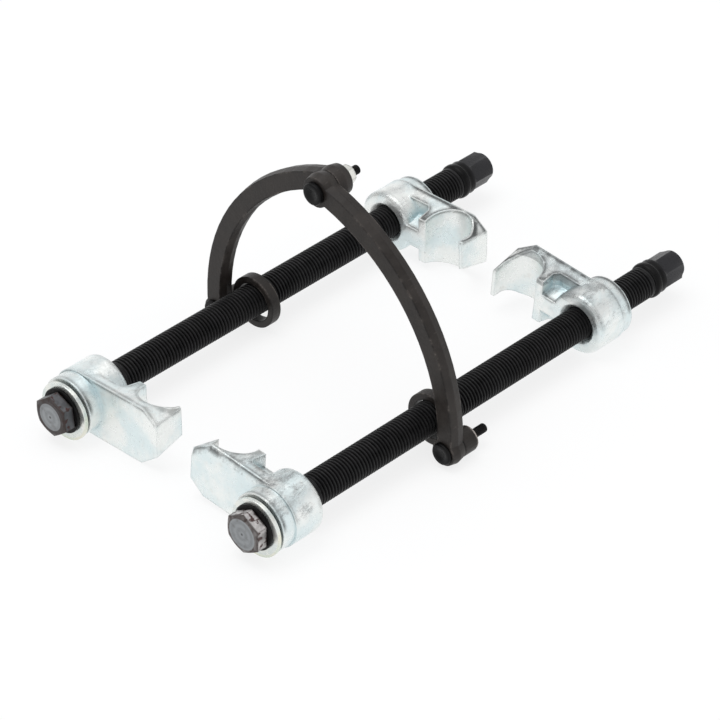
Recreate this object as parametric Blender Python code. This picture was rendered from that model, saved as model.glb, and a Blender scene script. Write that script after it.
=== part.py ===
"""Coil spring compressor: two screw halves with hooked claws, linked by a hinged bow.

The halves lie on a flat surface with their spindles along X, one at -Y and one at +Y, and
the bow stands over the middle in a plane across them. Every half is drawn in its own frame:
x along the spindle, y towards the other half, z up on the near half.
The far half is the near one turned over about its spindle.
"""
import bpy
import bmesh
from collections import namedtuple
from math import atan2, cos, pi, radians, sin, sqrt
from mathutils import Matrix, Vector

for old in list(bpy.data.objects):
    bpy.data.objects.remove(old, do_unlink=True)

# Clearance between neighbouring pieces
GAP = 0.0003

# The two halves
SPINDLE_LENGTH = 0.3880
SPINDLE_SPACING = 0.165
HALF_STAGGER = 0.0012
NEAR_LIE = radians(5.0)
FAR_LIE = radians(1.0)

# Spindle
THREAD_DIAMETER = 0.0213
COLLAR_DIAMETER = 0.0238
COLLAR_START = 0.3588
COLLAR_LENGTH = 0.0063
COLLAR_ROUNDING = 0.0024
TAPER_LENGTH = 0.0064
SMALL_HEX_ACROSS = 0.019
HEX_END_CHAMFER = 0.0022
NEAR_GRIP_ANGLE = radians(25.0)
FAR_GRIP_ANGLE = radians(-1.0)
SOCKET_DEPTH = 0.018
STUB_DIAMETER = 0.010

# Hexagon bolt in the left end of each spindle
LARGE_HEX_ACROSS = 0.024
LARGE_HEX_LENGTH = 0.0085
LARGE_HEX_FACE_DIAMETER = 0.0226
LARGE_HEX_CHAMFER = 0.0012
NEAR_HEX_ANGLE = radians(26.0)
FAR_HEX_ANGLE = radians(24.0)

# Thrust stack between the spindle's flange and the fixed claw
FLANGE_DIAMETER = 0.030
FLANGE_THICKNESS = 0.0018
WASHER_DIAMETER = 0.0385
WASHER_BORE = 0.0250
WASHER_THICKNESS = 0.0028
RACE_DIAMETER = 0.030
RACE_THICKNESS = 0.0007

# Claws, common to both kinds
BOSS_DIAMETER = 0.0416
REAR_BOSS_STEP = 0.0011
BOSS_ROUNDING = 0.003
BORE_CLEARANCE = 0.0003
BORE_COUNTERSINK = 0.0028
MOVING_CLAW_SETTING = 0.3163
WING_TAPER = 0.222
UPPER_TIP_CUT = 0.0108
UPPER_TIP_SLOPE = 0.75
UPPER_TIP_FALL = 0.27
LOWER_TIP_CUT = 0.0078
LOWER_TIP_SLOPE = 0.72
LOWER_TIP_RISE = 0.10
NOTCH_LEAN = 0.11
RIDGE_WIDTH = 0.0055
POCKET_REAR_WALL = 0.0095
POCKET_CORNER = 0.003
POCKET_FLOOR_HEIGHT = 0.009
POCKET_FLOOR_FALL = 0.24
RIM_BEVEL = 0.0008

# Fixed claw
FIXED_REAR_BOSS_LENGTH = 0.0096
FIXED_BOSS_LENGTH = 0.0236
FIXED_WING_REACH = 0.0672
FIXED_HOOK_DEPTH = 0.0212
FIXED_TRIM_DEPTH = 0.0016
NEAR_FIXED_TRIM_DROP = 0.0062
FAR_FIXED_TRIM_DROP = 0.0
FIXED_NOTCH_DIAMETER = 0.0310
FIXED_NOTCH_REACH = 0.0500
FIXED_NOTCH_WEB = 0.0058

# Moving claw
MOVING_REAR_BOSS_LENGTH = 0.0082
MOVING_BOSS_LENGTH = 0.022
MOVING_WING_REACH = 0.069
MOVING_HOOK_DEPTH = 0.024
MOVING_TRIM_DEPTH = 0.001
MOVING_TRIM_DROP = 0.0056
MOVING_NOTCH_DIAMETER = 0.032
MOVING_NOTCH_REACH = 0.051
MOVING_NOTCH_WEB = 0.0041

# Bow
BOW_FRONT = -0.046
NEAR_PIVOT_REACH = 0.0218
FAR_PIVOT_REACH = 0.0198
PIVOT_DROP = 0.0103
APEX_HEIGHT = 0.1288
APEX_SIDE = 0.0015
ARM_RADIUS = 0.1334
ARM_THICKNESS = 0.011
ARM_OUTER_HALF = 0.0070
ARM_INNER_HALF = 0.0060
ARM_DRAFT = 0.0011
APEX_SWELL = 0.0014
ARM_BEVEL = 0.0011
TOP_EYE_DIAMETER = 0.0220
FOOT_EYE_DIAMETER = 0.0192
EYE_DRAFT = 0.0011

# Slip rings that hold the bow on the spindles
RING_DIAMETER = 0.0353
RING_BORE = 0.0264
RING_THICKNESS = 0.007
LUG_DIAMETER = 0.0170
LUG_THICKNESS = 0.0103
LUG_NECK_WIDTH = 0.012
RING_BEVEL = 0.0007

# Pivot bolts, all of one diameter with a low round head
BOLT_DIAMETER = 0.006
HEAD_DIAMETER = 0.0145
HEAD_EDGE = 0.0009
APEX_HEAD_HEIGHT = 0.0032
APEX_NUT_ACROSS = 0.011
APEX_NUT_HEIGHT = 0.0070
APEX_BOLT_TAIL = 0.0070
FOOT_HEAD_HEIGHT = 0.0020
FOOT_WASHER_DIAMETER = 0.0160
FOOT_WASHER_THICKNESS = 0.0013
FOOT_BOLT_TAIL = 0.0135

# Facets round each turned shape
ROUND_STEPS = 48
NOTCH_STEPS = 60
BOLT_STEPS = 24
EYE_STEPS = 36
ARM_STEPS = 20
FILLET_STEPS = 3

# Colours: base colour, metallic, roughness
ZINC = ((0.72, 0.78, 0.79), 0.75, 0.38)
YELLOW_ZINC = ((0.80, 0.76, 0.52), 0.85, 0.30)
BLACK_STEEL = ((0.030, 0.029, 0.028), 0.4, 0.45)
DARK_OXIDE = ((0.055, 0.047, 0.042), 0.2, 0.55)
RAW_STEEL = ((0.33, 0.29, 0.26), 0.9, 0.42)


def material(name, finish):
    colour, metallic, roughness = finish
    made = bpy.data.materials.new(name)
    made.use_nodes = True
    shader = made.node_tree.nodes["Principled BSDF"]
    shader.inputs["Base Color"].default_value = (*colour, 1.0)
    shader.inputs["Metallic"].default_value = metallic
    shader.inputs["Roughness"].default_value = roughness
    return made


def link(name, bm):
    """Make an object from a bmesh whose faces are turned outwards."""
    bmesh.ops.recalc_face_normals(bm, faces=bm.faces)
    mesh = bpy.data.meshes.new(name)
    bm.to_mesh(mesh)
    bm.free()
    made = bpy.data.objects.new(name, mesh)
    bpy.context.scene.collection.objects.link(made)
    return made


def turned(name, profile, steps=ROUND_STEPS):
    """Turn a profile of (x, radius) points about X; a profile off the axis is closed first."""
    bm = bmesh.new()
    verts = [bm.verts.new((x, radius, 0.0)) for x, radius in profile]
    pairs = list(zip(verts, verts[1:]))
    if profile[0][1] > 0.0:
        pairs.append((verts[-1], verts[0]))
    edges = [bm.edges.new(pair) for pair in pairs]
    bmesh.ops.spin(bm, geom=verts + edges, cent=(0, 0, 0), axis=(1, 0, 0), dvec=(0, 0, 0),
                   angle=2 * pi, steps=steps, use_merge=True)
    bmesh.ops.remove_doubles(bm, verts=bm.verts, dist=1e-6)
    return link(name, bm)


def prism(name, bottom, top):
    """Close two outlines with the same number of points into one solid."""
    bm = bmesh.new()
    low = [bm.verts.new(point) for point in bottom]
    high = [bm.verts.new(point) for point in top]
    bm.faces.new(low)
    bm.faces.new(high)
    for i in range(len(low)):
        j = (i + 1) % len(low)
        bm.faces.new((low[i], low[j], high[j], high[i]))
    return link(name, bm)


def box(name, low, high):
    """A block between two opposite corners."""
    outline = [(low[0], low[1]), (high[0], low[1]), (high[0], high[1]), (low[0], high[1])]
    return prism(name, [(x, y, low[2]) for x, y in outline], [(x, y, high[2]) for x, y in outline])


def fillet(centre, radius, start, end):
    """Points of an arc from one angle to another, both ends included."""
    span = end - start
    angles = [start + span * i / FILLET_STEPS for i in range(FILLET_STEPS + 1)]
    return [(centre[0] + radius * cos(angle), centre[1] + radius * sin(angle)) for angle in angles]


def bake(target):
    """Replace an object's mesh with its evaluated one."""
    graph = bpy.context.evaluated_depsgraph_get()
    mesh = bpy.data.meshes.new_from_object(target.evaluated_get(graph), depsgraph=graph)
    target.modifiers.clear()
    target.data = mesh


def combine(target, operation, tool):
    """Join, cut or intersect an object with a tool, which is then removed."""
    modifier = target.modifiers.new(operation.title(), "BOOLEAN")
    modifier.operation = operation
    modifier.object = tool
    modifier.solver = "EXACT"
    bake(target)
    bpy.data.objects.remove(tool, do_unlink=True)
    bm = bmesh.new()
    bm.from_mesh(target.data)
    bmesh.ops.remove_doubles(bm, verts=bm.verts, dist=1e-6)
    bmesh.ops.dissolve_limit(bm, angle_limit=radians(0.3), verts=bm.verts, edges=bm.edges)
    bm.to_mesh(target.data)
    bm.free()


def soften(target, width, angle):
    """Break every edge that is sharper than an angle."""
    modifier = target.modifiers.new("Rim", "BEVEL")
    modifier.width = width
    modifier.segments = 1
    modifier.limit_method = "ANGLE"
    modifier.angle_limit = angle
    modifier.use_clamp_overlap = True
    bake(target)


def finish(target, finish_values, parent=None, smooth_below=radians(32)):
    """Give an object its material, its shading and its parent."""
    target.data.materials.clear()
    target.data.materials.append(material(target.name, finish_values))
    target.data.shade_smooth()
    target.data.set_sharp_from_angle(angle=smooth_below)
    if parent is not None:
        target.parent = parent
    return target


def holder(name, place, turn=0.0):
    """An empty on a piece's axis, turned about X."""
    empty = bpy.data.objects.new(name, None)
    bpy.context.scene.collection.objects.link(empty)
    empty.location = place
    empty.rotation_euler = (turn, 0.0, 0.0)
    return empty


def hexagon(name, across, start, end):
    """A six-sided bar along X with a corner towards +Y."""
    corner = across / sqrt(3)
    outline = [(corner * cos(pi * i / 3), corner * sin(pi * i / 3)) for i in range(6)]
    return prism(name, [(start, y, z) for y, z in outline], [(end, y, z) for y, z in outline])


def chamfered_hexagon(name, across, start, end, face_radius, chamfers):
    """A hexagon bar whose corners are turned off at each end by the given length."""
    bar = hexagon(name, across, start, end)
    corner = across / sqrt(3) + GAP
    profile = [(start - GAP, 0.0), (start - GAP, face_radius if chamfers[0] else corner)]
    if chamfers[0]:
        profile += [(start, face_radius), (start + chamfers[0], corner)]
    if chamfers[1]:
        profile += [(end - chamfers[1], corner), (end, face_radius), (end + GAP, face_radius)]
    else:
        profile += [(end + GAP, corner)]
    profile += [(end + GAP, 0.0)]
    combine(bar, "INTERSECT", turned("corner_turning", profile))
    return bar


# Places along a half, measured from the outer face of its large hexagon
FLANGE_START = LARGE_HEX_LENGTH + GAP
WASHER_START = FLANGE_START + FLANGE_THICKNESS + GAP
RACE_START = WASHER_START + WASHER_THICKNESS + GAP
FIXED_CLAW_REAR = RACE_START + RACE_THICKNESS + GAP
FIXED_CLAW_PLACE = FIXED_CLAW_REAR + FIXED_REAR_BOSS_LENGTH
THREAD_RADIUS = THREAD_DIAMETER / 2
BOSS_RADIUS = BOSS_DIAMETER / 2
AXIS_HEIGHT = BOSS_RADIUS

# Side shift that centres the feet of the bow about y = 0
MIDDLE = (NEAR_PIVOT_REACH - FAR_PIVOT_REACH) / 2

# A slip ring hangs on its spindle
RING_DROP = (RING_BORE - THREAD_DIAMETER) / 2 - GAP


def spindle(name, grip_angle):
    """Screw bar with its flange, its collar and its small hexagon, bored for the end bolt."""
    collar_end = COLLAR_START + COLLAR_LENGTH
    hex_start = collar_end + TAPER_LENGTH
    collar = COLLAR_DIAMETER / 2
    shoulder = SMALL_HEX_ACROSS / sqrt(3) + GAP
    flange_end = FLANGE_START + FLANGE_THICKNESS
    bore = STUB_DIAMETER / 2 + GAP
    profile = [(FLANGE_START + SOCKET_DEPTH, 0.0), (FLANGE_START + SOCKET_DEPTH, bore), (FLANGE_START, bore)]
    profile += [(FLANGE_START, FLANGE_DIAMETER / 2), (flange_end, FLANGE_DIAMETER / 2)]
    profile += [(flange_end, THREAD_RADIUS), (COLLAR_START, THREAD_RADIUS)]
    profile += fillet((COLLAR_START + COLLAR_ROUNDING, collar - COLLAR_ROUNDING), COLLAR_ROUNDING,
                      pi, pi / 2)
    profile += fillet((collar_end - COLLAR_ROUNDING, collar - COLLAR_ROUNDING), COLLAR_ROUNDING,
                      pi / 2, pi / 6)
    profile += [(hex_start, shoulder), (hex_start, 0.0)]
    bar = turned(name, profile)
    grip = chamfered_hexagon("small_hexagon", SMALL_HEX_ACROSS, hex_start - TAPER_LENGTH / 2, SPINDLE_LENGTH,
                             SMALL_HEX_ACROSS / 2 - GAP, (0.0, HEX_END_CHAMFER))
    grip.data.transform(Matrix.Rotation(grip_angle, 4, "X"))
    combine(bar, "UNION", grip)
    return bar


def end_hexagon(name):
    """Hexagon head with the plain stub that stands in the spindle's end."""
    head = chamfered_hexagon(name, LARGE_HEX_ACROSS, 0.0, LARGE_HEX_LENGTH,
                             LARGE_HEX_FACE_DIAMETER / 2, (LARGE_HEX_CHAMFER, 0.0))
    stub_end = FLANGE_START + SOCKET_DEPTH - 2 * GAP
    stub = [(LARGE_HEX_LENGTH / 2, 0.0), (LARGE_HEX_LENGTH / 2, STUB_DIAMETER / 2)]
    stub += [(stub_end, STUB_DIAMETER / 2), (stub_end, 0.0)]
    combine(head, "UNION", turned("stub", stub, BOLT_STEPS))
    return head


def flat_ring(name, outer, bore, length, rim, steps=ROUND_STEPS):
    """A plain ring from x = 0 along X with broken outer edges."""
    outer_radius = outer / 2
    return turned(name, [(0.0, bore / 2), (0.0, outer_radius - rim), (rim, outer_radius),
                         (length - rim, outer_radius), (length, outer_radius - rim), (length, bore / 2)], steps)


def wing_section(kind, depth, drop):
    """Corner points (reach, height) of the wing at a depth in front of its rear face."""
    half = BOSS_RADIUS - WING_TAPER * depth
    upper = half - drop
    upper_tip = BOSS_RADIUS - UPPER_TIP_CUT - UPPER_TIP_FALL * depth - drop
    lower_tip = BOSS_RADIUS - LOWER_TIP_CUT + LOWER_TIP_RISE * depth
    upper_corner = kind.reach - (upper - upper_tip) / UPPER_TIP_SLOPE
    lower_corner = kind.reach - (half - lower_tip) / LOWER_TIP_SLOPE
    return [(0.0, -half), (lower_corner, -half), (kind.reach, -lower_tip),
            (kind.reach, upper_tip), (upper_corner, upper), (0.0, upper)]


def wing(name, kind):
    """Tapered wing from its flat rear face to the hook side."""
    deepest = max(kind.hook_depth, kind.boss_length)
    sections = [(0.0, kind.trim_drop), (kind.trim_depth, 0.0), (deepest, 0.0)]
    bm = bmesh.new()
    rings = [[bm.verts.new((kind.hand * depth, reach, height))
              for reach, height in wing_section(kind, depth, drop)] for depth, drop in sections]
    bm.faces.new(rings[0])
    bm.faces.new(rings[-1])
    for ring, after in zip(rings, rings[1:]):
        for i in range(len(ring)):
            j = (i + 1) % len(ring)
            bm.faces.new((ring[i], ring[j], after[j], after[i]))
    return link(name, bm)


def notch_tool(kind):
    """Leaning round bar that leaves the seat for the spring's wire."""
    radius = kind.notch_diameter / 2
    centre = kind.hand * (kind.notch_web + radius)
    half = BOSS_DIAMETER
    turns = [2 * pi * i / NOTCH_STEPS for i in range(NOTCH_STEPS)]
    circle = [(centre + radius * cos(angle), kind.notch_reach + radius * sin(angle)) for angle in turns]
    return prism("notch_tool", [(x + NOTCH_LEAN * half, y, -half) for x, y in circle],
                 [(x - NOTCH_LEAN * half, y, half) for x, y in circle])


def pocket_tool(kind, side):
    """Hollow beside the mid web, open to the hook side; side is +1 above and -1 below."""
    open_depth = 2 * kind.boss_length
    wall = kind.notch_reach - kind.notch_diameter / 2 - RIDGE_WIDTH
    outline = [(POCKET_REAR_WALL, -GAP), (POCKET_REAR_WALL, wall - POCKET_CORNER),
               (POCKET_REAR_WALL + POCKET_CORNER, wall), (open_depth, wall), (open_depth, -GAP)]
    floor = [POCKET_FLOOR_HEIGHT - POCKET_FLOOR_FALL * (depth - POCKET_REAR_WALL) for depth, reach in outline]
    bottom = [(kind.hand * depth, reach, side * low) for (depth, reach), low in zip(outline, floor)]
    top = [(kind.hand * depth, reach, side * BOSS_DIAMETER) for depth, reach in outline]
    return prism("pocket_tool", bottom, top)


def boss(kind):
    """Round boss about the spindle: a smaller rear part, a step and a rounded hook side."""
    rear_radius = BOSS_RADIUS - REAR_BOSS_STEP
    front = kind.boss_length
    profile = [(-kind.rear_length, 0.0), (-kind.rear_length, rear_radius), (0.0, rear_radius), (0.0, BOSS_RADIUS)]
    profile += fillet((front - BOSS_ROUNDING, BOSS_RADIUS - BOSS_ROUNDING), BOSS_ROUNDING, pi / 2, 0.0)
    profile += [(front, 0.0)]
    return turned("boss", [(kind.hand * x, radius) for x, radius in profile])


def bore_tool(kind):
    """Spindle bore with a countersink on the hook side."""
    radius = THREAD_RADIUS + BORE_CLEARANCE
    wide = radius + BORE_COUNTERSINK
    ends = (-kind.rear_length - BOSS_ROUNDING, kind.boss_length + BOSS_ROUNDING)
    profile = [(ends[0], 0.0), (ends[0], radius), (kind.boss_length - BORE_COUNTERSINK, radius)]
    profile += [(kind.boss_length, wide), (ends[1], wide), (ends[1], 0.0)]
    return turned("bore_tool", [(kind.hand * x, r) for x, r in profile])


def front_tool(kind, depth, low_reach, high_reach):
    """Block that trims the hook side at a depth, between two reaches."""
    front = sorted((kind.hand * depth, kind.hand * 2 * BOSS_DIAMETER))
    return box("front_tool", (front[0], low_reach, -BOSS_DIAMETER), (front[1], high_reach, BOSS_DIAMETER))


def claw(name, kind):
    """Cast claw: boss, I-shaped wing with a pocket on both sides, wire notch and hook."""
    shape = wing(name, kind)
    for side in (1, -1):
        combine(shape, "DIFFERENCE", pocket_tool(kind, side))
    if kind.hook_depth > kind.boss_length:
        combine(shape, "DIFFERENCE", front_tool(kind, kind.boss_length, -BOSS_RADIUS, kind.notch_reach))
    else:
        combine(shape, "DIFFERENCE", front_tool(kind, kind.hook_depth, kind.notch_reach, 2 * kind.reach))
    combine(shape, "DIFFERENCE", notch_tool(kind))
    combine(shape, "UNION", boss(kind))
    combine(shape, "DIFFERENCE", bore_tool(kind))
    soften(shape, RIM_BEVEL, radians(28))
    return shape


def arc_centre(first, second, radius):
    """Centre of the circle of a radius through two points, on the side of the origin."""
    middle = (first + second) / 2
    across = Vector((second.y - first.y, first.x - second.x)).normalized()
    reach = sqrt(radius ** 2 - ((second - first).length / 2) ** 2)
    options = [middle + across * reach, middle - across * reach]
    return min(options, key=lambda point: point.length)


def eye(name, centre, diameter, length):
    """Round eye along X from x = 0, widest at its parting line half way through."""
    radius = diameter / 2
    made = turned(name, [(0.0, 0.0), (0.0, radius - EYE_DRAFT), (length / 2, radius),
                         (length, radius - EYE_DRAFT), (length, 0.0)], EYE_STEPS)
    made.data.transform(Matrix.Translation((0.0, centre.x, centre.y)))
    return made


def round_bar(name, centre, diameter, start, end, steps=BOLT_STEPS):
    """A plain round bar along X."""
    made = turned(name, [(start, 0.0), (start, diameter / 2), (end, diameter / 2), (end, 0.0)], steps)
    made.data.transform(Matrix.Translation((0.0, centre.x, centre.y)))
    return made


def arm(name, apex, foot):
    """Forged bow arm along an arc from the apex eye to the foot eye, in (y, z)."""
    centre = arc_centre(apex, foot, ARM_RADIUS)
    start = atan2(apex.y - centre.y, apex.x - centre.x)
    end = atan2(foot.y - centre.y, foot.x - centre.x)
    sweep = (end - start + pi) % (2 * pi) - pi
    thick, inner, outer = ARM_THICKNESS, -ARM_INNER_HALF, ARM_OUTER_HALF
    section = [(0.0, inner + ARM_DRAFT), (0.0, outer - ARM_DRAFT), (thick / 2, outer),
               (thick, outer - ARM_DRAFT), (thick, inner + ARM_DRAFT), (thick / 2, inner)]
    bm = bmesh.new()
    rings = []
    for step in range(ARM_STEPS + 1):
        angle = start + sweep * step / ARM_STEPS
        swell = APEX_SWELL * (1 - step / ARM_STEPS)
        ring = []
        for x, out in section:
            reach = ARM_RADIUS + out + (swell if out > 0.0 else 0.0)
            ring.append(bm.verts.new((x, centre.x + reach * cos(angle), centre.y + reach * sin(angle))))
        rings.append(ring)
    bm.faces.new(rings[0])
    bm.faces.new(rings[-1])
    for ring, after in zip(rings, rings[1:]):
        for i in range(len(ring)):
            j = (i + 1) % len(ring)
            bm.faces.new((ring[i], ring[j], after[j], after[i]))
    shape = link(name, bm)
    combine(shape, "UNION", eye("apex_eye", apex, TOP_EYE_DIAMETER, ARM_THICKNESS))
    combine(shape, "UNION", eye("foot_eye", foot, FOOT_EYE_DIAMETER, ARM_THICKNESS))
    for place in (apex, foot):
        hole = round_bar("pivot_hole", place, BOLT_DIAMETER + 2 * GAP, -thick, 2 * thick)
        combine(shape, "DIFFERENCE", hole)
    soften(shape, ARM_BEVEL, radians(40))
    return shape


def slip_ring(name, lug, flush_back):
    """Ring about x = 0..thickness with a drilled lug at (y, z); the thicker lug is flush on one side."""
    start = LUG_THICKNESS - RING_THICKNESS if flush_back else 0.0
    end = start + RING_THICKNESS
    shape = round_bar(name, Vector((0.0, 0.0)), RING_DIAMETER, start, end, ROUND_STEPS)
    direction = lug.normalized()
    side = Vector((-direction.y, direction.x)) * LUG_NECK_WIDTH / 2
    neck = [side, lug + side, lug - side, -side]
    combine(shape, "UNION", prism("neck", [(start, p.x, p.y) for p in neck], [(end, p.x, p.y) for p in neck]))
    combine(shape, "UNION", round_bar("lug", lug, LUG_DIAMETER, 0.0, LUG_THICKNESS))
    tools = ((Vector((0.0, 0.0)), RING_BORE, ROUND_STEPS), (lug, BOLT_DIAMETER + 2 * GAP, BOLT_STEPS))
    for place, bore, steps in tools:
        hole = round_bar("ring_hole", place, bore, -LUG_THICKNESS, 2 * LUG_THICKNESS, steps)
        combine(shape, "DIFFERENCE", hole)
    soften(shape, RING_BEVEL, radians(40))
    return shape


def pivot_bolt(name, head_height, length):
    """Bolt with a low round head below x = 0 and a shank with a broken end above it."""
    radius, head = BOLT_DIAMETER / 2, HEAD_DIAMETER / 2
    profile = [(-head_height, 0.0), (-head_height, head - HEAD_EDGE), (HEAD_EDGE - head_height, head), (0.0, head)]
    profile += [(0.0, radius), (length - 2 * GAP, radius), (length, radius - 2 * GAP), (length, 0.0)]
    return turned(name, profile, BOLT_STEPS)


def hexagon_nut(name, across, bore, height):
    """Hexagon nut from x = 0, its corners turned off on the outer side."""
    corner = across / sqrt(3)
    nut = chamfered_hexagon(name, across, 0.0, height, across / 2, (0.0, corner - across / 2))
    hole = round_bar("nut_hole", Vector((0.0, 0.0)), bore, -height, 2 * height)
    combine(nut, "DIFFERENCE", hole)
    return nut


def make_half(side, direction, lie, hex_angle, grip_angle, fixed, moving):
    """All pieces that lie on one spindle; direction is -1 for the near half, +1 for the far one."""
    start = -SPINDLE_LENGTH / 2 + direction * HALF_STAGGER / 2
    turn = lie if direction < 0 else pi - lie
    half = holder(f"{side}_half", (start, MIDDLE + direction * SPINDLE_SPACING / 2, AXIS_HEIGHT), turn)
    finish(spindle(f"{side}_spindle", grip_angle), BLACK_STEEL, half)

    hexagon_end = finish(end_hexagon(f"{side}_end_hexagon"), RAW_STEEL, half)
    hexagon_end.rotation_euler.x = hex_angle

    sag = (WASHER_BORE - THREAD_DIAMETER) / 2 - GAP
    washer = finish(flat_ring(f"{side}_thrust_washer", WASHER_DIAMETER, WASHER_BORE, WASHER_THICKNESS, GAP),
                    YELLOW_ZINC, half)
    washer.location = (WASHER_START, -sag * sin(turn), -sag * cos(turn))

    race = finish(flat_ring(f"{side}_race_ring", RACE_DIAMETER, THREAD_DIAMETER + 2 * GAP, RACE_THICKNESS, GAP / 2),
                  BLACK_STEEL, half)
    race.location.x = RACE_START

    for name, kind, place in ((f"{side}_fixed_claw", fixed, FIXED_CLAW_PLACE),
                              (f"{side}_moving_claw", moving, MOVING_CLAW_SETTING)):
        piece = finish(claw(name, kind), ZINC, half)
        piece.location.x = place


def make_foot(side, direction, front, foot):
    """Slip ring, pivot bolt and washer at the foot of one arm; foot is the pivot in (y, z)."""
    lug_front = front + ARM_THICKNESS + GAP
    ring_centre = Vector((MIDDLE + direction * SPINDLE_SPACING / 2, -RING_DROP))
    ring = slip_ring(f"{side}_slip_ring", foot - ring_centre, direction > 0)
    finish(ring, DARK_OXIDE)
    ring.location = (lug_front, ring_centre.x, AXIS_HEIGHT + ring_centre.y)

    grip = ARM_THICKNESS + LUG_THICKNESS + FOOT_WASHER_THICKNESS + 4 * GAP
    bolt = finish(pivot_bolt(f"{side}_pivot_bolt", FOOT_HEAD_HEIGHT, grip + FOOT_BOLT_TAIL), BLACK_STEEL)
    bolt.location = (front - GAP, foot.x, AXIS_HEIGHT + foot.y)

    washer = flat_ring(f"{side}_pivot_washer", FOOT_WASHER_DIAMETER, BOLT_DIAMETER + 2 * GAP,
                       FOOT_WASHER_THICKNESS, GAP, BOLT_STEPS)
    finish(washer, ZINC)
    washer.location = (lug_front + LUG_THICKNESS + GAP, foot.x, AXIS_HEIGHT + foot.y)


def make_bow():
    """Two arms hinged at the apex and at a slip ring on each spindle."""
    apex = Vector((MIDDLE + APEX_SIDE, APEX_HEIGHT))
    sides = (("near", -1, NEAR_PIVOT_REACH, BOW_FRONT),
             ("far", 1, FAR_PIVOT_REACH, BOW_FRONT + ARM_THICKNESS + GAP))
    for side, direction, reach, front in sides:
        foot = Vector((MIDDLE + direction * (SPINDLE_SPACING / 2 + reach), -PIVOT_DROP))
        shape = finish(arm(f"{side}_arm", apex, foot), DARK_OXIDE)
        shape.data.transform(Matrix.Translation((0.0, -foot.x, -foot.y)))
        shape.location = (front, foot.x, AXIS_HEIGHT + foot.y)
        make_foot(side, direction, front, foot)

    grip = 2 * ARM_THICKNESS + APEX_NUT_HEIGHT + 3 * GAP
    bolt = finish(pivot_bolt("apex_bolt", APEX_HEAD_HEIGHT, grip + APEX_BOLT_TAIL), BLACK_STEEL)
    bolt.location = (BOW_FRONT - GAP, apex.x, AXIS_HEIGHT + apex.y)
    nut = finish(hexagon_nut("apex_nut", APEX_NUT_ACROSS, BOLT_DIAMETER + 2 * GAP, APEX_NUT_HEIGHT), ZINC)
    nut.location = (BOW_FRONT + 2 * ARM_THICKNESS + 2 * GAP, apex.x, AXIS_HEIGHT + apex.y)


# Sizes of one kind of claw; hand is +1 with the hooks towards +X
Claw = namedtuple("Claw", "hand rear_length boss_length reach hook_depth trim_depth trim_drop "
                          "notch_diameter notch_reach notch_web")
NEAR_FIXED = Claw(1, FIXED_REAR_BOSS_LENGTH, FIXED_BOSS_LENGTH, FIXED_WING_REACH, FIXED_HOOK_DEPTH,
                  FIXED_TRIM_DEPTH, NEAR_FIXED_TRIM_DROP, FIXED_NOTCH_DIAMETER, FIXED_NOTCH_REACH,
                  FIXED_NOTCH_WEB)
FAR_FIXED = NEAR_FIXED._replace(trim_drop=FAR_FIXED_TRIM_DROP)
MOVING = Claw(-1, MOVING_REAR_BOSS_LENGTH, MOVING_BOSS_LENGTH, MOVING_WING_REACH, MOVING_HOOK_DEPTH,
              MOVING_TRIM_DEPTH, MOVING_TRIM_DROP, MOVING_NOTCH_DIAMETER, MOVING_NOTCH_REACH, MOVING_NOTCH_WEB)

make_half("near", -1, NEAR_LIE, NEAR_HEX_ANGLE, NEAR_GRIP_ANGLE, NEAR_FIXED, MOVING)
make_half("far", 1, FAR_LIE, FAR_HEX_ANGLE, FAR_GRIP_ANGLE, FAR_FIXED, MOVING)
make_bow()
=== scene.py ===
"""Looks of the coil spring compressor: threads, plating, oxide, wear, floor, light and camera."""

from math import cos, pi, radians, sin, sqrt

import bpy
import numpy as np
from mathutils import Euler, Matrix, Vector


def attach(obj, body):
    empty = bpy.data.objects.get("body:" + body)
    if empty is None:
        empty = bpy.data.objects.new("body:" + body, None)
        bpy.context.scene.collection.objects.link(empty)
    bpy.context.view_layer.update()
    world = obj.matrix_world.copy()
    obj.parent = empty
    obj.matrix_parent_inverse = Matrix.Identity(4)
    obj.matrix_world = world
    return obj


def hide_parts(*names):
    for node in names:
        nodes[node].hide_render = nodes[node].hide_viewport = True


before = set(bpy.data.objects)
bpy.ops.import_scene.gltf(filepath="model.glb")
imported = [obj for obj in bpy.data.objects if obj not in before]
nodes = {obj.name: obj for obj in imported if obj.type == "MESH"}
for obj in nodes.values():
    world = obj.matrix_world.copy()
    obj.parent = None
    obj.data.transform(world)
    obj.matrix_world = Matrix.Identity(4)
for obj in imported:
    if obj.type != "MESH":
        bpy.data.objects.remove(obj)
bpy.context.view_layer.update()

# The two halves as in the solids, in metres and radians: X of the large hexagon's outer face, Y of the
# spindle, the half's turn about X and the small hexagon's own turn from there
AXIS_HEIGHT = 0.0208
NEAR = {"start": -0.1946, "side": -0.0815, "turn": radians(5.0), "grip": radians(25.0)}
FAR = {"start": -0.1934, "side": 0.0835, "turn": pi - radians(1.0), "grip": radians(-1.0)}
SIDES = {"near": NEAR, "far": FAR}

# Spindle, measured along X from the outer face of its large hexagon; the collar's rear arc ends at an
# angle, where the taper goes on
BAR_RADIUS = 0.01065
BAR_STEPS = 60
THREAD_START = 0.0556
THREAD_END = 0.3572
THREAD_PITCH = 0.0025
THREAD_DEPTH = 0.00120
THREAD_RAMP = 0.002
NECK_LEAD = 0.001
FLANGE_START = 0.0088
FLANGE_END = 0.0106
FLANGE_RADIUS = 0.015
SOCKET_END = 0.0268
SOCKET_RADIUS = 0.0053
COLLAR_START = 0.3588
COLLAR_END = 0.3651
COLLAR_RADIUS = 0.0119
COLLAR_ROUNDING = 0.0024
COLLAR_ARC_END = pi / 6
COLLAR_ARC_STEPS = 7
GRIP_START = 0.3715
GRIP_LEAD = 0.0015
GRIP_ACROSS = 0.019
GRIP_CHAMFER = 0.0022
SPINDLE_END = 0.388

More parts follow.
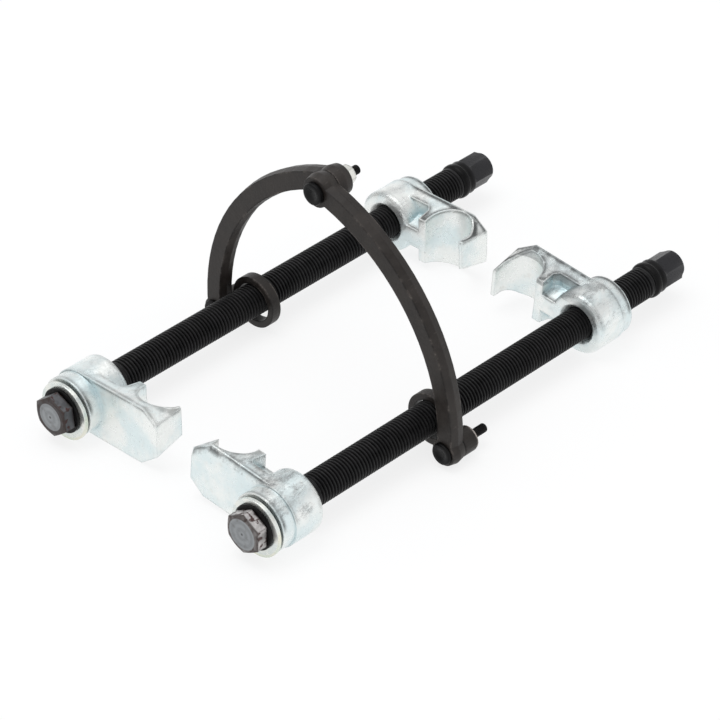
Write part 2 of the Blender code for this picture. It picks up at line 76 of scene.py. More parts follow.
# Taper between collar and small hexagon: distance before the hexagon, height above its corners
TAPER = ((0.0032, 0.0005), (0.0026, 0.0004))

# Pivot bolts, measured along X from the seat of the head; the tip's arc ends at an angle, and the dish's
# floor and rim are shares of the head's radius
BOLT_RADIUS = 0.003
BOLT_STEPS = 36
BOLT_PITCH = 0.001
BOLT_THREAD_DEPTH = 0.00042
BOLT_THREAD_RAMP = 0.0008
BOLT_END_ROUNDING = 0.0010
BOLT_ARC_END = 0.15
BOLT_ARC_STEPS = 5
HEAD_RADIUS = 0.00725
HEAD_ROUNDING = 0.0011
DISH_DEPTH = 0.0006
DISH_FLOOR = 0.42
DISH_RIM = 0.52

# Places of the bolts: the body that each rides on, its seat, and how high the head, how long the shank
# and how long its thread are
FOOT_HEIGHT = AXIS_HEIGHT - 0.0103
FOOT_SIDE = 0.1033
APEX_HEIGHT = AXIS_HEIGHT + 0.1288
BOLTS = {
    "near_pivot_bolt": {"body": "near_slider", "seat": (-0.0463, -FOOT_SIDE, FOOT_HEIGHT),
                        "head": 0.0020, "length": 0.0373, "threaded": 0.0140},
    "far_pivot_bolt": {"body": "far_slider", "seat": (-0.0350, FOOT_SIDE, FOOT_HEIGHT),
                       "head": 0.0020, "length": 0.0373, "threaded": 0.0140},
    "apex_bolt": {"body": "near_bow", "seat": (-0.0463, 0.0025, APEX_HEIGHT),
                  "head": 0.0032, "length": 0.0369, "threaded": 0.0075},
}

# Spindles and bolts alike: the width of small chamfers, stations to a pitch, turns from a thread's root
# to its crest, and the angle above which an edge stays sharp
CHAMFER = 0.0003
SAMPLES_PER_PITCH = 10
ROOT_TO_CREST = 0.40
SHARP_ANGLE = radians(42)

# Zinc on the claws: colours, among them painted pocket shade and painted dark reflections, rounding of the
# edges, how far across the painted pocket shade may reach, and how much painted streak reflection the
# upward faces carry
PLATE = {"cool": (0.73, 0.82, 0.83), "warm": (0.88, 0.90, 0.88), "dull": (0.64, 0.63, 0.59),
         "pocket": (0.55, 0.69, 0.73), "speck": (0.33, 0.34, 0.34), "streak_reflection": (0.28, 0.29, 0.29),
         "sand": (0.30, 0.315, 0.32), "line": (0.075, 0.078, 0.078)}
PLATE_ROUNDING = 0.0014
POCKET_SHADE_REACH = 0.012
STREAK_REFLECTION_SHARE = {"near": 0.95, "far": 0.35}

# Dark lines beside the claws' edges, a painted dark reflection: how far from the edge they start and end,
# how far the edge is rounded off for telling which way it faces, how much of the edge itself they spare,
# how strong they are, and their share on flat tops
LINE_START = 0.0012
LINE_END = 0.0044
LINE_ROUNDING = 0.0048
LINE_SPARED = 0.80
LINE_STRENGTH = 0.95
FIXED_CLAW_LINE = 0.55
MOVING_CLAW_LINE = 1.0

# The near travelling claw is blasted grey above a height over its spindle's axis; the grey grows
# outwards along the wing, from the boss
SANDY_HEIGHT = 0.0122
SANDY_FADE = 0.0010
SANDY_FROM = -0.004
SANDY_FULL = 0.020

# Dark oxide on arms and slip rings, with painted shade that turns their seams nearly black
OXIDE_DARK = (0.0195, 0.0152, 0.0132)
OXIDE_PALE = (0.0365, 0.0305, 0.0270)
OXIDE = {"scratch": (0.10, 0.088, 0.080), "edge": (0.0045, 0.0040, 0.0036),
         "rubbed": (0.115, 0.100, 0.090), "seam_shade": (0.0030, 0.0028, 0.0026)}
OXIDE_EDGE = 0.0014
OXIDE_ROUNDING = 0.0013
SEAM_SHADE_REACH = 0.0032
ARM_LIGHT = 0.72
RING_LIGHT = 0.58

# Black steel of spindles, bolts and race rings; the painted highlight on the crests starts and is full at
# these depths below the bar's radius, and it stops a margin above it, where the collar is
BLACK_DARK = (0.0026, 0.0026, 0.0028)
BLACK_PALE = (0.0060, 0.0058, 0.0060)
BLACK = {"dust": (0.050, 0.048, 0.046), "crest": (0.028, 0.028, 0.029), "grip": (0.033, 0.033, 0.036)}
BAR_LIGHT = 1.0
BOLT_LIGHT = 1.6
RACE_LIGHT = 2.0
CREST_HIGHLIGHT_FROM = 0.00030
CREST_HIGHLIGHT_FULL = 0.00004
CREST_HIGHLIGHT_MARGIN = 0.0001
GRIP_FADE = 0.006

# Large hexagons: colours, how dark the flats get, the turned face's radius and fade, the depths at which
# the face and the brown rim round it begin to fade and are gone, the spacing of the face's fine rings
# and broad bands, and the centre mark's radii
HEXAGON = {"face": (0.19, 0.20, 0.21), "face_band": (0.25, 0.265, 0.275), "face_ring": (0.33, 0.345, 0.35),
           "centre": (0.05, 0.05, 0.055), "stain": (0.13, 0.12, 0.115), "rust": (0.045, 0.014, 0.012),
           "rim": (0.040, 0.030, 0.027), "edge": (0.050, 0.034, 0.030)}
FLAT_COLOUR = {"near": (0.56, 0.54, 0.535), "far": (0.105, 0.108, 0.116)}
TURNED_RADIUS = {"near": 0.0106, "far": 0.0094}
FLAT_DARKEST = 0.60
TURNED_FADE = 0.0005
FACE_FULL = 0.0007
FACE_END = 0.0012
RIM_FULL = 0.0012
RIM_END = 0.0020
RING_SPACING = 0.00085
BAND_SPACING = 0.0046
CENTRE_FULL = 0.0004
CENTRE_END = 0.0012
HEXAGON_EDGE = 0.0012
HEXAGON_ROUNDING = 0.0007

# Passivated zinc of thrust washers and nut; the washers' rim begins at a radius
ZINC = {"face": (0.70, 0.75, 0.73), "pale": (0.84, 0.85, 0.80), "yellow": (0.80, 0.79, 0.68),
        "green": (0.70, 0.76, 0.67), "nut": (0.80, 0.79, 0.74), "nut_edge": (0.24, 0.235, 0.22)}
WASHER_RIM = 0.0186
WASHER_FADE = 0.0005
NUT_EDGE = 0.0014
ZINC_ROUNDING = 0.0005

# Dull steel of the foot washers
DULL = {"dark": (0.13, 0.115, 0.105), "pale": (0.40, 0.365, 0.34)}

# Floor, sky, lamp and camera; the sky is a colour at each height, 0 at the horizon and 1 overhead, and
# the lens and its sensor are in millimetres
PAPER = {"cool": (0.175, 0.178, 0.182), "warm": (0.18, 0.18, 0.18)}
FLOOR_REACH = 6.0
FLOOR_GLOW = 0.80
SKY = ((0.0, (1.0, 1.0, 1.0)), (0.36, (1.0, 1.0, 1.01)), (0.52, (0.62, 0.62, 0.6262)),
       (0.74, (0.64, 0.64, 0.6464)), (0.94, (1.45, 1.45, 1.45)))
LAMP_PLACE = (-0.3, 0.5, 2.2)
LAMP_ACROSS = 1.6
LAMP_WATTS = 14.0
CAMERA_AZIMUTH = radians(-46.285)
CAMERA_ELEVATION = radians(35.513)
CAMERA_PLACE = (-1.49094, -1.41595, 1.45136 + AXIS_HEIGHT)
LENS = 202.9
SENSOR_WIDTH = 36.0
CLIP_START = 0.05
CLIP_END = 30.0


# Shapes

def turned_body(name, x, radius):
    """Closed body on a grid of station k along X and angle j about X.

    The point at (k, j) is (x[k], r cos a, r sin a) with a = 2 pi j / steps and r = radius[k, j].
    The first and the last station are points on the axis, closed with fans.
    """
    count, steps = radius.shape
    angle = 2 * pi * np.arange(steps) / steps
    middle = radius[1:-1]
    stations = np.repeat(x[1:-1, None], steps, axis=1)
    points = np.stack([stations, middle * np.cos(angle), middle * np.sin(angle)], axis=-1)
    points = np.concatenate([points.reshape(-1, 3), [[x[0], 0.0, 0.0], [x[-1], 0.0, 0.0]]])

    rows = count - 2
    first, last = rows * steps, rows * steps + 1
    j = np.arange(steps)
    after = (j + 1) % steps
    k = np.arange(rows - 1)[:, None] * steps
    quads = np.stack([k + j, k + after, k + steps + after, k + steps + j], axis=-1).reshape(-1, 4)
    start_fan = np.stack([np.full(steps, first), after, j], axis=-1)
    tail = (rows - 1) * steps
    end_fan = np.stack([np.full(steps, last), tail + j, tail + after], axis=-1)

    mesh = bpy.data.meshes.new(name)
    mesh.from_pydata(points.tolist(), [], quads.tolist() + start_fan.tolist() + end_fan.tolist())
    mesh.update()
    made = bpy.data.objects.new(name, mesh)
    bpy.context.scene.collection.objects.link(made)
    return made


def arc(centre_x, centre_r, radius, start, end, steps):
    """Points (x, r) of an arc: its centre plus its radius times (cos a, sin a), a from start to end."""
    angle = np.linspace(start, end, steps)
    return np.column_stack([centre_x + radius * np.cos(angle), centre_r + radius * np.sin(angle)])


def level(x, r):
    """Points (x, r) that all have the same r."""
    return np.column_stack([x, np.full(len(x), r)])


def thread_stations(start, end, pitch):
    """Evenly spaced stations along a threaded stretch."""
    count = int(round((end - start) / pitch * SAMPLES_PER_PITCH)) + 1
    return np.linspace(start, end, count)


def thread_drop(x, steps, start, end, pitch, ramp, depth):
    """How far a thread's surface lies below its crests at every station and angle.

    The phase x / pitch - angle / 2 pi has a root at every half. With t the distance from the nearest
    one and u = t / ROOT_TO_CREST, no more than 1, the drop is depth * (1 - u * u * (3 - 2 * u)). It
    fades in and out over the ramp at both ends.
    """
    angle = np.arange(steps) / steps
    phase = (x[:, None] / pitch - angle[None, :]) % 1.0
    climb = np.clip(np.abs(phase - 0.5) / ROOT_TO_CREST, 0.0, 1.0)
    climb = climb * climb * (3 - 2 * climb)
    fade = np.clip((x - start) / ramp, 0, 1) * np.clip((end - x) / ramp, 0, 1)
    return depth * (1 - climb) * fade[:, None]


def shade(made):
    """Smooth shading, with edges above the sharp angle kept."""
    made.data.shade_smooth()
    made.data.set_sharp_from_angle(angle=SHARP_ANGLE)


def spindle(name, half):
    """Screw bar: bored end, flange, neck, thread, collar, taper and hexagon.

    The radius at a station and an angle is the profile's, less the thread's drop. On the hexagon it
    is no more than half the width across flats / cos(angle from the middle of the nearest flat).
    """
    corner = GRIP_ACROSS / sqrt(3) + 2 * CHAMFER
    bore_and_flange = [(SOCKET_END, 0.0), (SOCKET_END, SOCKET_RADIUS), (FLANGE_START, SOCKET_RADIUS),
                       (FLANGE_START, FLANGE_RADIUS - CHAMFER), (FLANGE_START + CHAMFER, FLANGE_RADIUS),
                       (FLANGE_END - CHAMFER, FLANGE_RADIUS), (FLANGE_END, FLANGE_RADIUS - CHAMFER),
                       (FLANGE_END, BAR_RADIUS - CHAMFER)]
    along = thread_stations(THREAD_START - THREAD_RAMP, THREAD_END + THREAD_RAMP / 2, THREAD_PITCH)
    neck = [(along[0] - NECK_LEAD, BAR_RADIUS - CHAMFER)]
    collar_middle = COLLAR_RADIUS - COLLAR_ROUNDING
    rise = arc(COLLAR_START + COLLAR_ROUNDING, collar_middle, COLLAR_ROUNDING, pi, pi / 2, COLLAR_ARC_STEPS)
    fall = arc(COLLAR_END - COLLAR_ROUNDING, collar_middle, COLLAR_ROUNDING, pi / 2, COLLAR_ARC_END,
               COLLAR_ARC_STEPS)
    taper = [(GRIP_START - lead, GRIP_ACROSS / sqrt(3) + height) for lead, height in TAPER]
    grip = [(GRIP_START - GRIP_LEAD, corner), (GRIP_START, corner), (SPINDLE_END - GRIP_CHAMFER, corner),
            (SPINDLE_END, GRIP_ACROSS / 2 - CHAMFER), (SPINDLE_END, 0.0)]
    profile = np.concatenate([bore_and_flange, neck, level(along, BAR_RADIUS), rise, fall, taper, grip])

    radius = np.repeat(profile[:, 1:], BAR_STEPS, axis=1)
    first = len(bore_and_flange) + len(neck)
    radius[first:first + len(along)] -= thread_drop(along, BAR_STEPS, THREAD_START, THREAD_END, THREAD_PITCH,
                                                    THREAD_RAMP, THREAD_DEPTH)
    angle = 2 * pi * np.arange(BAR_STEPS) / BAR_STEPS
    flat = GRIP_ACROSS / 2 / np.cos(angle % (pi / 3) - pi / 6)
    grip_rows = slice(len(profile) - len(grip), len(profile) - 1)
    radius[grip_rows] = np.minimum(radius[grip_rows], flat)

    made = turned_body(name, profile[:, 0], radius)
    made.data.transform(Matrix.Translation((half["start"], half["side"], AXIS_HEIGHT))
                        @ Matrix.Rotation(half["turn"], 4, "X") @ Matrix.Rotation(half["grip"], 4, "X"))
    shade(made)
    return made


def pivot_bolt(name, bolt):
    """Low round head with a shallow dish, and a shank with a thread at its end.

    The radius at a station and an angle is the profile's, less the thread's drop.
    """
    head, length = bolt["head"], bolt["length"]
    thread_end = length - BOLT_END_ROUNDING
    dish = [(-head + DISH_DEPTH, 0.0), (-head + DISH_DEPTH, HEAD_RADIUS * DISH_FLOOR),
            (-head, HEAD_RADIUS * DISH_RIM)]
    crown = arc(-head + HEAD_ROUNDING, HEAD_RADIUS - HEAD_ROUNDING, HEAD_ROUNDING, pi, pi / 2, BOLT_ARC_STEPS)
    seat = [(-CHAMFER, HEAD_RADIUS), (0.0, HEAD_RADIUS - CHAMFER), (0.0, BOLT_RADIUS)]
    along = thread_stations(length - bolt["threaded"], thread_end, BOLT_PITCH)
    tip = arc(thread_end, BOLT_RADIUS - BOLT_END_ROUNDING, BOLT_END_ROUNDING, pi / 2, BOLT_ARC_END,
              BOLT_ARC_STEPS)
    profile = np.concatenate([dish, crown, seat, level(along, BOLT_RADIUS), tip, [(length, 0.0)]])

    radius = np.repeat(profile[:, 1:], BOLT_STEPS, axis=1)
    first = len(dish) + len(crown) + len(seat)
    radius[first:first + len(along)] -= thread_drop(along, BOLT_STEPS, along[0], along[-1], BOLT_PITCH,
                                                    BOLT_THREAD_RAMP, BOLT_THREAD_DEPTH)
    made = turned_body(name, profile[:, 0], radius)
    made.data.transform(Matrix.Translation(bolt["seat"]))
    shade(made)
    return made


# Materials

class Shader:
    """A material's node tree, with a short call for each kind of node that it uses.

    Noise scales are per metre. The limits of a ramp are values of the noise or the mask that it reads,
    or metres where it reads a distance.
    """

    def __init__(self, name):
        self.material = bpy.data.materials.new(name)
        self.material.use_nodes = True
        self.tree = self.material.node_tree
        self.bsdf = self.tree.nodes["Principled BSDF"]
        self.coords = self.tree.nodes.new("ShaderNodeTexCoord").outputs["Object"]

    def node(self, kind, inputs=None, **settings):
        """Add a node with its settings and with what goes into its inputs."""
        made = self.tree.nodes.new(kind)
        for key, value in settings.items():
            setattr(made, key, value)
        for key, value in (inputs or {}).items():
            self.feed(made.inputs[key], value)
        return made

    def feed(self, socket, value):
        """Link a socket to an output, or set its own value."""
        if isinstance(value, bpy.types.NodeSocket):
            self.tree.links.new(value, socket)
        else:
            socket.default_value = value

    def noise(self, scale, detail=3.0, rough=0.5, stretch=None, offset=(0, 0, 0)):
        """Noise around 0.5 in Object coordinates."""
        vector = self.coords
        if stretch or any(offset):
            vector = self.node("ShaderNodeMapping", {"Vector": vector, "Scale": stretch or (1, 1, 1),
                                                     "Location": offset}).outputs["Vector"]
        made = self.node("ShaderNodeTexNoise", {"Vector": vector, "Scale": scale, "Detail": detail,
                                                "Roughness": rough})
        return made.outputs["Fac"]

    def ramp(self, value, low, high, out_low=0.0, out_high=1.0):
        """Smooth step from one output at low to another at high."""
        made = self.node("ShaderNodeMapRange", {"Value": value, "From Min": low, "From Max": high,
                                                "To Min": out_low, "To Max": out_high},
                         interpolation_type="SMOOTHSTEP")
        return made.outputs["Result"]

    def math(self, operation, first, second=0.0):
        """One arithmetic step on one or two values."""
        return self.node("ShaderNodeMath", {0: first, 1: second}, operation=operation).outputs[0]

    def product(self, first, *others):
        """All the values multiplied together."""
        for other in others:
            first = self.math("MULTIPLY", first, other)
        return first

    def mix(self, factor, first, second):
        """Blend two colours; 0 gives the first one."""
        made = self.node("ShaderNodeMix", data_type="RGBA")
        for index, value in ((0, factor), (6, first), (7, second)):
            if isinstance(value, tuple):
                value = (*value, 1.0)
            self.feed(made.inputs[index], value)
        return made.outputs[2]

    def near_edge(self, distance):
        """1 on outer edges within a distance, 0 on open faces."""
        inside = self.node("ShaderNodeAmbientOcclusion", {"Distance": distance}, samples=8, inside=True,
                           only_local=True).outputs["AO"]
        return self.ramp(inside, 0.72, 0.97, 1.0, 0.0)

    def hollow(self, distance, with_others=False):
        """1 in pockets, 0 on open faces; with_others counts the seams between pieces too."""
        open_share = self.node("ShaderNodeAmbientOcclusion", {"Distance": distance}, samples=8,
                               only_local=not with_others).outputs["AO"]
        return self.ramp(open_share, 0.30, 0.85, 1.0, 0.0)

    def rounded_normal(self, radius):
        """The surface's normal with its edges rounded off."""
        return self.node("ShaderNodeBevel", {"Radius": radius}, samples=4).outputs["Normal"]

    def height_of(self, normal):
        """1 for a normal that points straight up, 0 on upright faces, below 0 on lower ones."""
        return self.node("ShaderNodeSeparateXYZ", {"Vector": normal}).outputs["Z"]

    def upward(self, normal):
        """1 where a normal points up, 0 on upright and lower faces."""
        return self.ramp(self.height_of(normal), 0.06, 0.36)

    def from_axis(self, half):
        """Place measured from the axis of a half's spindle; X stays as it is."""
        return self.node("ShaderNodeVectorMath", {0: self.coords, 1: (0.0, -half["side"], -AXIS_HEIGHT)},
                         operation="ADD").outputs["Vector"]

    def along_direction(self, vector, direction):
        """How far a place lies in a direction."""
        return self.node("ShaderNodeVectorMath", {0: vector, 1: direction},
                         operation="DOT_PRODUCT").outputs["Value"]

    def reach_from(self, half):
        """Distance from the axis of a half's spindle, and X."""
        parts = self.node("ShaderNodeSeparateXYZ", {"Vector": self.from_axis(half)}).outputs
        square = self.math("ADD", self.product(parts["Y"], parts["Y"]), self.product(parts["Z"], parts["Z"]))
        return self.math("POWER", square, 0.5), parts["X"]

    def bump(self, height, strength, depth, normal=None):
        """The normal of a rough surface, on top of another normal."""
        inputs = {"Height": height, "Strength": strength, "Distance": depth}
        if normal is not None:
            inputs["Normal"] = normal
        return self.node("ShaderNodeBump", inputs).outputs["Normal"]

    def finish(self, colour, metallic, roughness, normal=None, **sockets):
        """Feed the shader; a keyword is a socket's name with _ for each space."""
        self.feed(self.bsdf.inputs["Base Color"], colour)
        self.feed(self.bsdf.inputs["Metallic"], metallic)
        self.feed(self.bsdf.inputs["Roughness"], roughness)
        if normal is not None:
            self.feed(self.bsdf.inputs["Normal"], normal)
        for key, value in sockets.items():
            self.bsdf.inputs[key.replace("_", " ")].default_value = value
        return self.material


def sand_share(s, half, grain, patch):
    """How much of a claw is blasted grey: the faces above the sandy height, less so on the boss."""
    turn = half["turn"]
    place = s.from_axis(half)
    height = s.along_direction(place, (0.0, -sin(turn), cos(turn)))
    reach = s.along_direction(place, (0.0, cos(turn), sin(turn)))
    above = s.ramp(height, SANDY_HEIGHT, SANDY_HEIGHT + SANDY_FADE)
    return s.product(above, s.ramp(grain, 0.30, 0.66, 0.35, 1.0), s.ramp(patch, 0.34, 0.60, 0.55, 1.0),
                     s.ramp(reach, SANDY_FROM, SANDY_FULL, 0.15, 1.0))


def edge_reflection_line(s, patch, top_line):
    """Painted dark reflections just inside the edges of upward faces; top_line is their share on flat tops.
    """
    beside = s.math("SUBTRACT", s.near_edge(LINE_END), s.product(s.near_edge(LINE_START), LINE_SPARED))
    flatness = s.height_of(s.node("ShaderNodeNewGeometry").outputs["Normal"])
    return s.product(beside, s.ramp(patch, 0.36, 0.52, 0.50, 1.0), s.upward(s.rounded_normal(LINE_ROUNDING)),
                     s.ramp(flatness, 0.5, 0.8, 1.0, top_line), LINE_STRENGTH)


def zinc_plate(name, offset, streak_reflection_share, top_line, sandy_half=None):
    """Bright zinc on a forging: cloudy tint, specks, painted pocket shade, painted dark reflection streaks
    and edge lines.

    The painted reflection streaks lie on upward faces. With a sandy_half, the claw of that half is blasted
    grey on top.
    """
    s = Shader(name)
    cloud = s.noise(38.0, 4.0, 0.6, offset=offset)
    patch = s.noise(120.0, 5.0, 0.65, offset=offset)
    grain = s.noise(2300.0, 3.0, 0.6)
    speck = s.noise(620.0, 2.0, 0.5, offset=offset)
    streak = s.noise(80.0, 7.0, 0.78, stretch=(0.7, 1.3, 1.3), offset=offset)
    rounded_edge = s.rounded_normal(PLATE_ROUNDING)

    colour = s.mix(s.ramp(cloud, 0.36, 0.62), PLATE["cool"], PLATE["warm"])
    colour = s.mix(s.ramp(patch, 0.56, 0.70, 0.0, 0.30), colour, PLATE["dull"])
    # painted shade: pockets turn darker and cooler
    colour = s.mix(s.product(s.hollow(POCKET_SHADE_REACH), 0.75), colour, PLATE["pocket"])
    colour = s.mix(s.ramp(speck, 0.64, 0.74, 0.0, 0.32), colour, PLATE["speck"])
    # painted dark reflection streaks on upward faces
    streak_reflection = s.product(s.ramp(streak, 0.47, 0.62), s.ramp(grain, 0.36, 0.62, 0.25, 1.0),
                      s.upward(rounded_edge), streak_reflection_share)
    colour = s.mix(streak_reflection, colour, PLATE["streak_reflection"])
    if sandy_half is not None:
        colour = s.mix(sand_share(s, sandy_half, grain, patch), colour, PLATE["sand"])
    # painted dark reflections beside the edges of upward faces
    colour = s.mix(edge_reflection_line(s, patch, top_line), colour, PLATE["line"])

    height = s.math("ADD", s.noise(170.0, 4.0, 0.55), s.product(grain, 0.20))
    normal = s.bump(height, strength=0.4, depth=0.0010, normal=rounded_edge)
    return s.finish(colour, metallic=0.82, roughness=s.ramp(patch, 0.3, 0.7, 0.24, 0.40), normal=normal)


def dark_oxide(name, offset, light):
    """Forged steel in dark oxide: warm, mottled, edges dark or rubbed pale, seams painted nearly black as
    shade.
    """
    s = Shader(name)
    cloud = s.noise(60.0, 4.0, 0.6, offset=offset)
    grain = s.noise(900.0, 3.0, 0.6)
    scratch = s.noise(220.0, 3.0, 0.6, stretch=(0.5, 3.0, 3.0))

    dark, pale = (tuple(light * c for c in tone) for tone in (OXIDE_DARK, OXIDE_PALE))
    colour = s.mix(s.ramp(cloud, 0.35, 0.68), dark, pale)
    colour = s.mix(s.ramp(scratch, 0.64, 0.74, 0.0, 0.25), colour, OXIDE["scratch"])
    edge = s.product(s.near_edge(OXIDE_EDGE), s.ramp(scratch, 0.40, 0.58, 0.75, 0.25))
    colour = s.mix(edge, colour, s.mix(s.ramp(cloud, 0.50, 0.62), OXIDE["edge"], OXIDE["rubbed"]))
    # painted shade in seams, also in those between pieces
    colour = s.mix(s.product(s.hollow(SEAM_SHADE_REACH, with_others=True), 0.9), colour, OXIDE["seam_shade"])

    height = s.math("ADD", s.noise(260.0, 4.0, 0.55), s.product(grain, 0.35))
    normal = s.bump(height, strength=0.40, depth=0.0005, normal=s.rounded_normal(OXIDE_ROUNDING))
    return s.finish(colour, metallic=0.0, roughness=s.ramp(cloud, 0.3, 0.7, 0.36, 0.52), normal=normal,
                    Specular_IOR_Level=0.26)


def black_steel(name, light, half=None):
    """Oiled black steel with a fine grain and dry, paler places.

    With a half, that spindle's thread has a painted highlight on its crests and its small hexagon is paler.
    """
    s = Shader(name)
    cloud = s.noise(90.0, 3.0, 0.6)
    grain = s.noise(1200.0, 3.0, 0.6)
    dust = s.noise(420.0, 4.0, 0.65)

    dark, pale = (tuple(light * c for c in tone) for tone in (BLACK_DARK, BLACK_PALE))
    colour = s.mix(s.ramp(cloud, 0.35, 0.7), dark, pale)
    colour = s.mix(s.ramp(dust, 0.66, 0.78, 0.0, 0.22), colour, BLACK["dust"])
    if half is not None:
        reach, along = s.reach_from(half)
        # painted highlight along the thread's crests
        crest = s.product(s.ramp(reach, BAR_RADIUS - CREST_HIGHLIGHT_FROM, BAR_RADIUS - CREST_HIGHLIGHT_FULL, 0.0, 0.5),
                          s.ramp(reach, BAR_RADIUS + CREST_HIGHLIGHT_MARGIN, BAR_RADIUS + 3 * CREST_HIGHLIGHT_MARGIN, 1.0, 0.0),
                          s.ramp(cloud, 0.3, 0.6, 0.4, 1.0))
        colour = s.mix(crest, colour, BLACK["crest"])
        grip_start = half["start"] + GRIP_START
        colour = s.mix(s.ramp(along, grip_start - GRIP_FADE, grip_start, 0.0, 0.75), colour, BLACK["grip"])
    normal = s.bump(grain, strength=0.25, depth=0.0003)
    return s.finish(colour, metallic=0.0, roughness=s.ramp(dust, 0.3, 0.7, 0.24, 0.40), normal=normal,
                    Specular_IOR_Level=0.11)


def machined_hexagon(name, half, flats, turned_radius):
    """End bolt: turned face with fine rings and a centre mark, brown rim, scaled and rusty flats."""
    s = Shader(name)
    reach, along = s.reach_from(half)
    start = half["start"]
    cloud = s.noise(220.0, 4.0, 0.6)
    rust = s.noise(230.0, 4.0, 0.55, offset=(0.0, half["side"], 0.3))
    ring = s.math("SINE", s.product(reach, 2 * pi / RING_SPACING))
    band = s.math("SINE", s.product(reach, 2 * pi / BAND_SPACING))
    facing = s.ramp(along, start + FACE_FULL, start + FACE_END, 1.0, 0.0)
    turned = s.product(facing, s.ramp(reach, turned_radius - TURNED_FADE, turned_radius, 1.0, 0.0))

    face = s.mix(s.ramp(band, -1.0, 1.0), HEXAGON["face"], HEXAGON["face_band"])
    face = s.mix(s.ramp(ring, -1.0, 1.0, 0.0, 0.35), face, HEXAGON["face_ring"])
    face = s.mix(s.ramp(reach, CENTRE_FULL, CENTRE_END, 0.9, 0.0), face, HEXAGON["centre"])
    face = s.mix(s.ramp(cloud, 0.55, 0.72, 0.0, 0.5), face, HEXAGON["stain"])
    side = s.mix(s.ramp(cloud, 0.35, 0.65), tuple(FLAT_DARKEST * c for c in flats), flats)
    side = s.mix(s.ramp(rust, 0.54, 0.585, 0.0, 0.92), side, HEXAGON["rust"])
    rim = s.product(s.ramp(along, start + RIM_FULL, start + RIM_END, 0.9, 0.0),
                    s.ramp(cloud, 0.30, 0.60, 0.55, 1.0))
    side = s.mix(rim, side, HEXAGON["rim"])
    colour = s.mix(turned, side, face)
    colour = s.mix(s.product(s.near_edge(HEXAGON_EDGE), 0.6), colour, HEXAGON["edge"])

    height = s.math("ADD", s.product(ring, turned, 0.06), s.product(rust, 0.8))
    normal = s.bump(height, strength=0.4, depth=0.0004, normal=s.rounded_normal(HEXAGON_ROUNDING))
    return s.finish(colour, metallic=0.55, roughness=s.ramp(cloud, 0.3, 0.7, 0.36, 0.52), normal=normal)


def passivated_zinc(name, half=None):
    """Pale passivated zinc: the thrust washer of a half with a yellow-green rim, or else the nut."""
    s = Shader(name)
    cloud = s.noise(130.0, 3.0, 0.6)
    face = s.mix(s.ramp(cloud, 0.35, 0.65), ZINC["face"], ZINC["pale"])
    if half is None:
        worn = s.mix(s.product(s.near_edge(NUT_EDGE), 0.6), ZINC["nut"], ZINC["nut_edge"])
        colour = s.mix(0.7, face, worn)
    else:
        reach, _ = s.reach_from(half)
        tint = s.noise(70.0, 2.0, 0.5, offset=(3, 1, 2))
        rim = s.mix(s.ramp(tint, 0.4, 0.65), ZINC["yellow"], ZINC["green"])
        colour = s.mix(s.ramp(reach, WASHER_RIM, WASHER_RIM + WASHER_FADE), face, rim)
    grain = s.noise(900.0, 3.0, 0.6)
    normal = s.bump(grain, strength=0.2, depth=0.0003, normal=s.rounded_normal(ZINC_ROUNDING))
    return s.finish(colour, metallic=0.85, roughness=s.ramp(cloud, 0.3, 0.7, 0.22, 0.34), normal=normal)


def dull_steel(name):
    """Dull plated steel with a brown cast."""
    s = Shader(name)
    cloud = s.noise(300.0, 4.0, 0.6)
    colour = s.mix(s.ramp(cloud, 0.38, 0.62), DULL["dark"], DULL["pale"])
    normal = s.bump(cloud, strength=0.3, depth=0.0003)
    return s.finish(colour, metallic=0.7, roughness=0.45, normal=normal)


def give(name, material):
    """Put one material on a piece of the solids."""
    for slot in nodes[name].material_slots:
        slot.material = material


# Pieces that are replaced

bolt_black = black_steel("bolt_black", BOLT_LIGHT)
for name, bolt in BOLTS.items():
    made = pivot_bolt(f"{name}_threaded", bolt)
    made.data.materials.append(bolt_black)
    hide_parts(name)
    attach(made, bolt["body"])

for side, half in SIDES.items():
    made = spindle(f"{side}_screw_bar", half)
    made.data.materials.append(black_steel(f"{side}_thread_black", BAR_LIGHT, half))
    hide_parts(f"{side}_spindle")
    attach(made, f"{side}_screw")


# Pieces that keep their solid; each forging moves its pattern, so that no two look the same

race_black = black_steel("race_black", RACE_LIGHT)
foot_washer = dull_steel("foot_washer_steel")
for side, half in SIDES.items():
    across = half["side"]
    streak_reflections = STREAK_REFLECTION_SHARE[side]
    sandy_half = half if side == "near" else None
    give(f"{side}_end_hexagon",
         machined_hexagon(f"{side}_hexagon_steel", half, FLAT_COLOUR[side], TURNED_RADIUS[side]))
    give(f"{side}_thrust_washer", passivated_zinc(f"{side}_yellow_zinc", half))
    give(f"{side}_race_ring", race_black)
    give(f"{side}_fixed_claw",
         zinc_plate(f"{side}_fixed_plate", (across * 20, 0.0, 0.0), streak_reflections, FIXED_CLAW_LINE))
    give(f"{side}_moving_claw",
         zinc_plate(f"{side}_moving_plate", (0.0, across * 30, 1.0), streak_reflections, MOVING_CLAW_LINE, sandy_half))
    give(f"{side}_arm", dark_oxide(f"{side}_arm_oxide", (across * 10, 0.0, 0.0), ARM_LIGHT))
    give(f"{side}_slip_ring", dark_oxide(f"{side}_ring_oxide", (0.0, across * 10, 2.0), RING_LIGHT))
    give(f"{side}_pivot_washer", foot_washer)
give("apex_nut", passivated_zinc("nut_zinc"))


# Floor, sky, lamp and camera

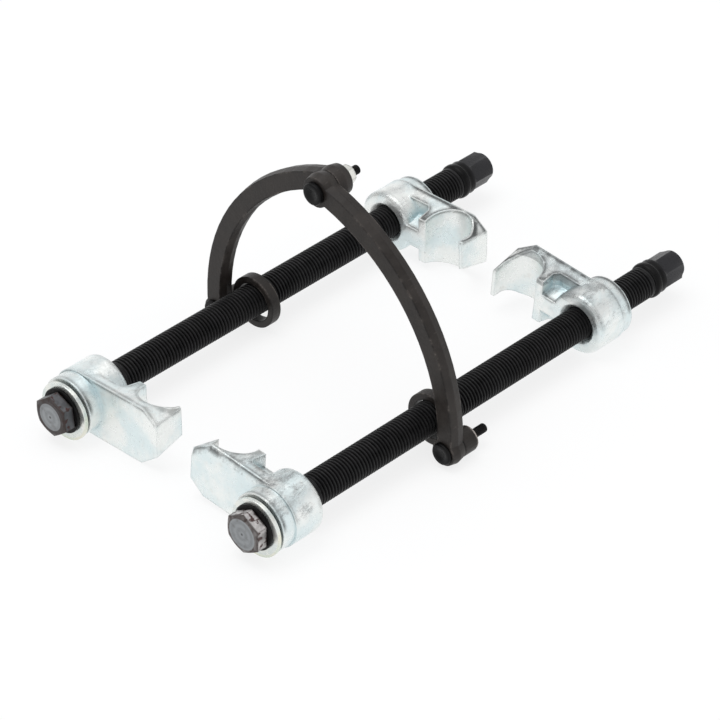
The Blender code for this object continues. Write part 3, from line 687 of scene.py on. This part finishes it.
def make_floor():
    """White floor whose brightness is mostly its own glow, so that shadows on it stay faint."""
    r = FLOOR_REACH
    mesh = bpy.data.meshes.new("floor")
    mesh.from_pydata([(-r, -r, 0), (r, -r, 0), (r, r, 0), (-r, r, 0)], [], [(0, 1, 2, 3)])
    made = bpy.data.objects.new("floor", mesh)
    bpy.context.scene.collection.objects.link(made)
    s = Shader("floor_paper")
    tint = s.mix(s.noise(2.0, 2.0, 0.5), PAPER["cool"], PAPER["warm"])
    s.finish(tint, metallic=0.0, roughness=0.9, Emission_Color=(1.0, 1.0, 1.0, 1.0),
             Emission_Strength=FLOOR_GLOW, Specular_IOR_Level=0.0)
    mesh.materials.append(s.material)


def make_world():
    """White round the horizon, a greyer belt above it and a bright ceiling, the same for every ray."""
    world = bpy.data.worlds.new("studio")
    bpy.context.scene.world = world
    world.use_nodes = True
    tree = world.node_tree
    background = tree.nodes["Background"]
    geometry = tree.nodes.new("ShaderNodeNewGeometry")
    parts = tree.nodes.new("ShaderNodeSeparateXYZ")
    height = tree.nodes.new("ShaderNodeMath")
    height.operation = "ABSOLUTE"
    ramp = tree.nodes.new("ShaderNodeValToRGB")
    stops = ramp.color_ramp.elements
    for stop, (position, colour) in zip(stops, (SKY[0], SKY[-1])):
        stop.position, stop.color = position, (*colour, 1)
    for position, colour in SKY[1:-1]:
        stops.new(position).color = (*colour, 1)
    tree.links.new(geometry.outputs["Normal"], parts.inputs[0])
    tree.links.new(parts.outputs["Z"], height.inputs[0])
    tree.links.new(height.outputs[0], ramp.inputs["Fac"])
    tree.links.new(ramp.outputs["Color"], background.inputs["Color"])
    background.inputs["Strength"].default_value = 1.0


def make_lamp():
    """One wide disk above the far side, aimed at the origin."""
    lamp = bpy.data.lights.new("overhead", "AREA")
    lamp.shape = "DISK"
    lamp.size = LAMP_ACROSS
    lamp.energy = LAMP_WATTS
    made = bpy.data.objects.new("overhead", lamp)
    bpy.context.scene.collection.objects.link(made)
    made.location = LAMP_PLACE
    made.rotation_euler = (-Vector(LAMP_PLACE)).to_track_quat("-Z", "Y").to_euler()


def make_camera():
    """Camera fitted to both spindles of the photograph."""
    camera = bpy.data.cameras.new("camera")
    camera.lens = LENS
    camera.sensor_width = SENSOR_WIDTH
    camera.clip_start = CLIP_START
    camera.clip_end = CLIP_END
    made = bpy.data.objects.new("camera", camera)
    bpy.context.scene.collection.objects.link(made)
    made.location = CAMERA_PLACE
    made.rotation_euler = Euler((pi / 2 - CAMERA_ELEVATION, 0.0, CAMERA_AZIMUTH), "XYZ")
    bpy.context.scene.camera = made


make_floor()
make_world()
make_lamp()
make_camera()
bpy.context.scene.view_settings.view_transform = "Standard"
